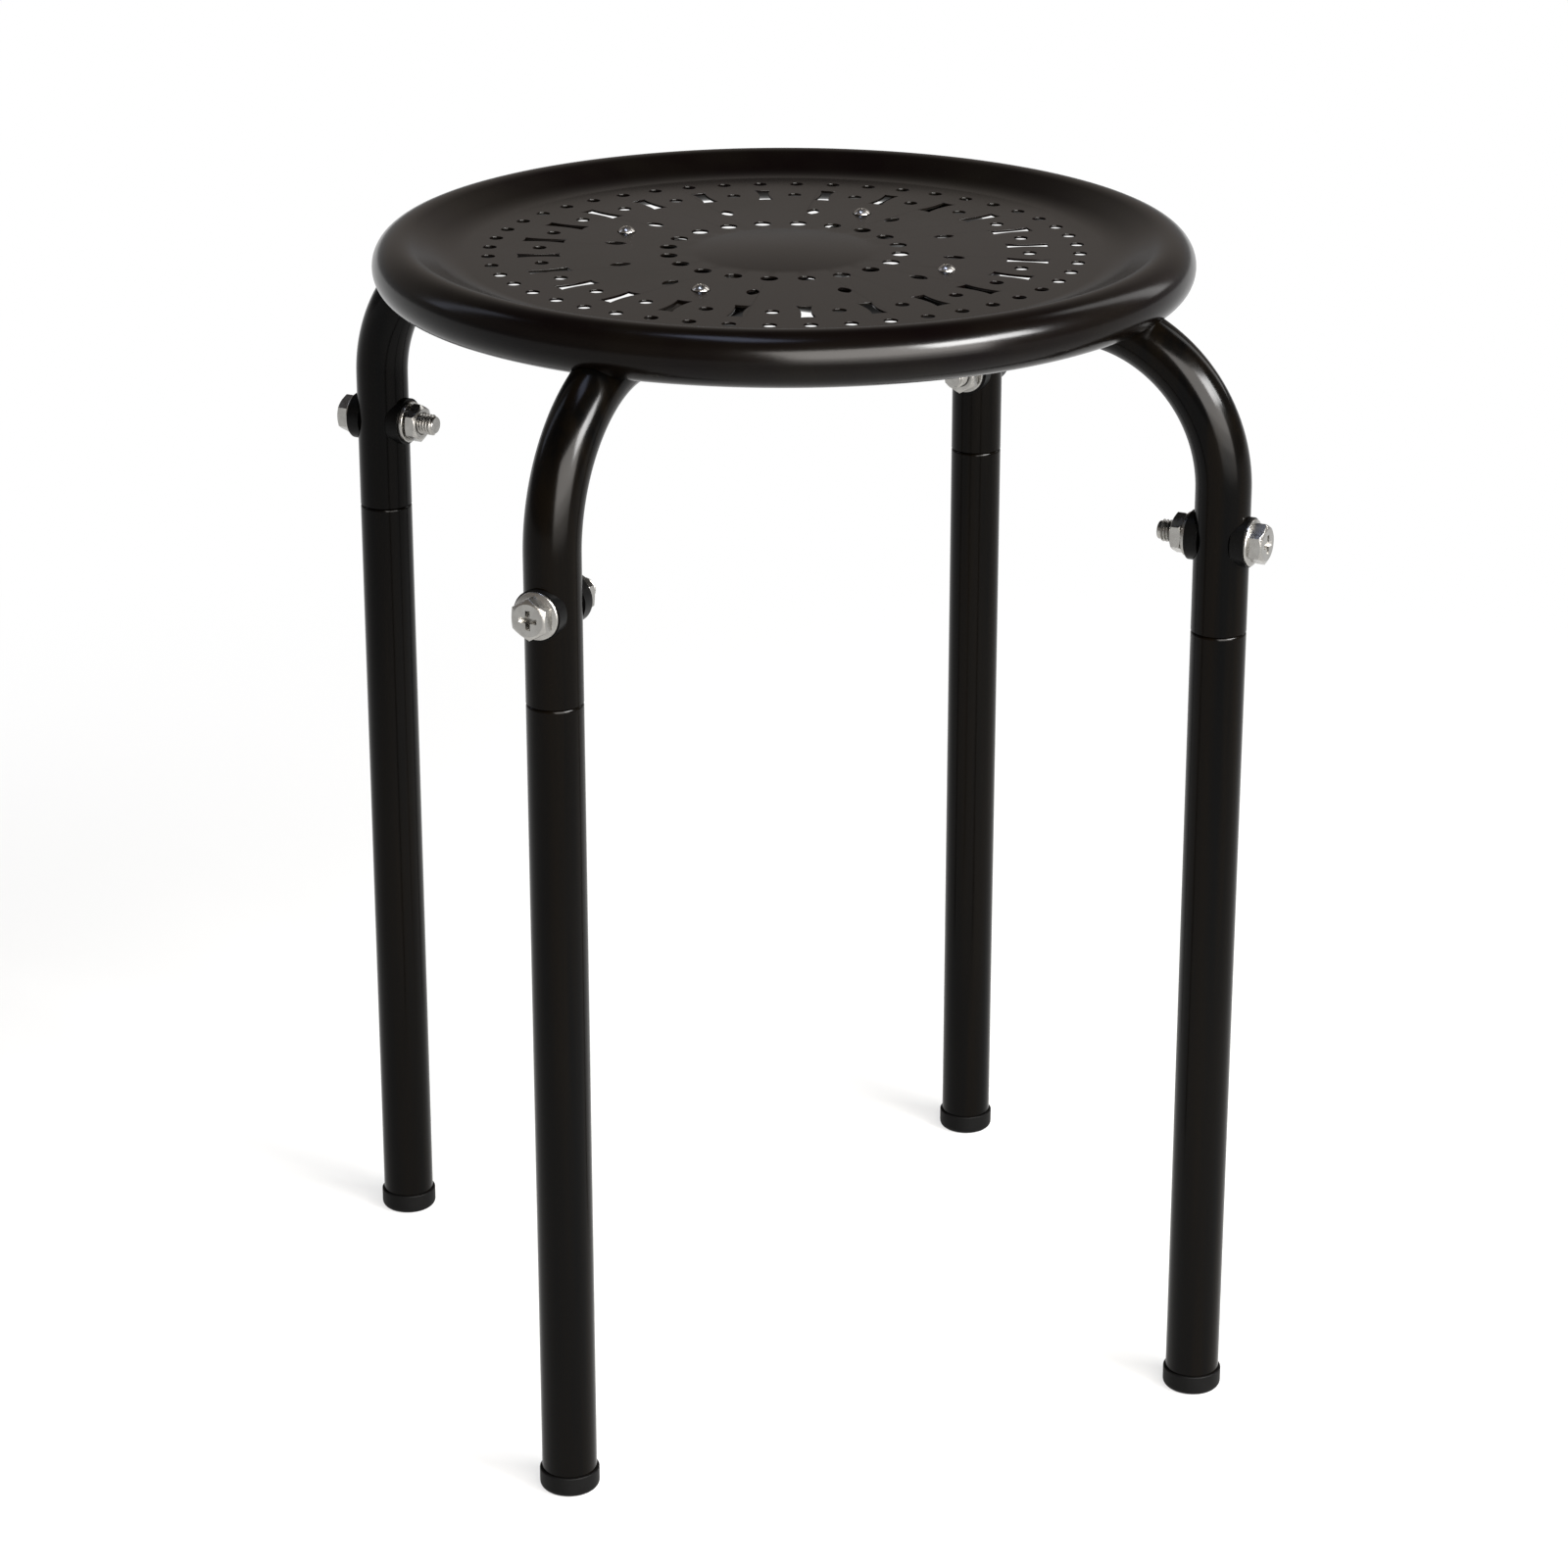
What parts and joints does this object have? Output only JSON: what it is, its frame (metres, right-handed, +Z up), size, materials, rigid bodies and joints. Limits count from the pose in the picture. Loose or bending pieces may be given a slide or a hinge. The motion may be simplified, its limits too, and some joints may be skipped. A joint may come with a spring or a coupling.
{
  "type": "stacking stool",
  "caption": "Low round stool with a dished, perforated metal seat on crossed bent tubes and bolted straight tube legs; nests on its like.",
  "frame": {"origin": "floor level under the centre of the seat, which is the bottom centre of the bounding box", "axes": "+Z up along the legs; one leg on each half axis: front leg on -Y, right leg on +X, back leg on +Y, left leg on -X"},
  "size_m": [0.383, 0.383, 0.43],
  "materials": {
    "seat_coat": "semi-gloss black powder coat, pressed sheet",
    "tube_coat": "semi-gloss black powder coat, tube",
    "foot_plastic": "moulded black plastic, matte",
    "saddle_plastic": "moulded black plastic, matte",
    "bolt_zinc": "bright zinc plate",
    "screw_zinc": "bright zinc plate",
    "inner_zinc": "zinc plate, hidden or half hidden"
  },
  "bodies": {
    "root": {"seat_pan": "seat_coat", "cross_tube_upper": "tube_coat", "cross_tube_lower": "tube_coat", "leg_right": "tube_coat", "foot_plug_right": "foot_plastic", "leg_bolt_right": "bolt_zinc", "saddle_outer_right": "saddle_plastic", "saddle_inner_right": "saddle_plastic", "flat_washer_right": "inner_zinc", "leg_nut_right": "inner_zinc", "seat_screw_right": "screw_zinc", "rivet_nut_right": "inner_zinc", "leg_back": "tube_coat", "foot_plug_back": "foot_plastic", "leg_bolt_back": "bolt_zinc", "saddle_outer_back": "saddle_plastic", "saddle_inner_back": "saddle_plastic", "flat_washer_back": "inner_zinc", "leg_nut_back": "inner_zinc", "seat_screw_back": "screw_zinc", "rivet_nut_back": "inner_zinc", "leg_left": "tube_coat", "foot_plug_left": "foot_plastic", "leg_bolt_left": "bolt_zinc", "saddle_outer_left": "saddle_plastic", "saddle_inner_left": "saddle_plastic", "flat_washer_left": "inner_zinc", "leg_nut_left": "inner_zinc", "seat_screw_left": "screw_zinc", "rivet_nut_left": "inner_zinc", "leg_front": "tube_coat", "foot_plug_front": "foot_plastic", "leg_bolt_front": "bolt_zinc", "saddle_outer_front": "saddle_plastic", "saddle_inner_front": "saddle_plastic", "flat_washer_front": "inner_zinc", "leg_nut_front": "inner_zinc", "seat_screw_front": "screw_zinc", "rivet_nut_front": "inner_zinc"}
  },
  "joints": []
}
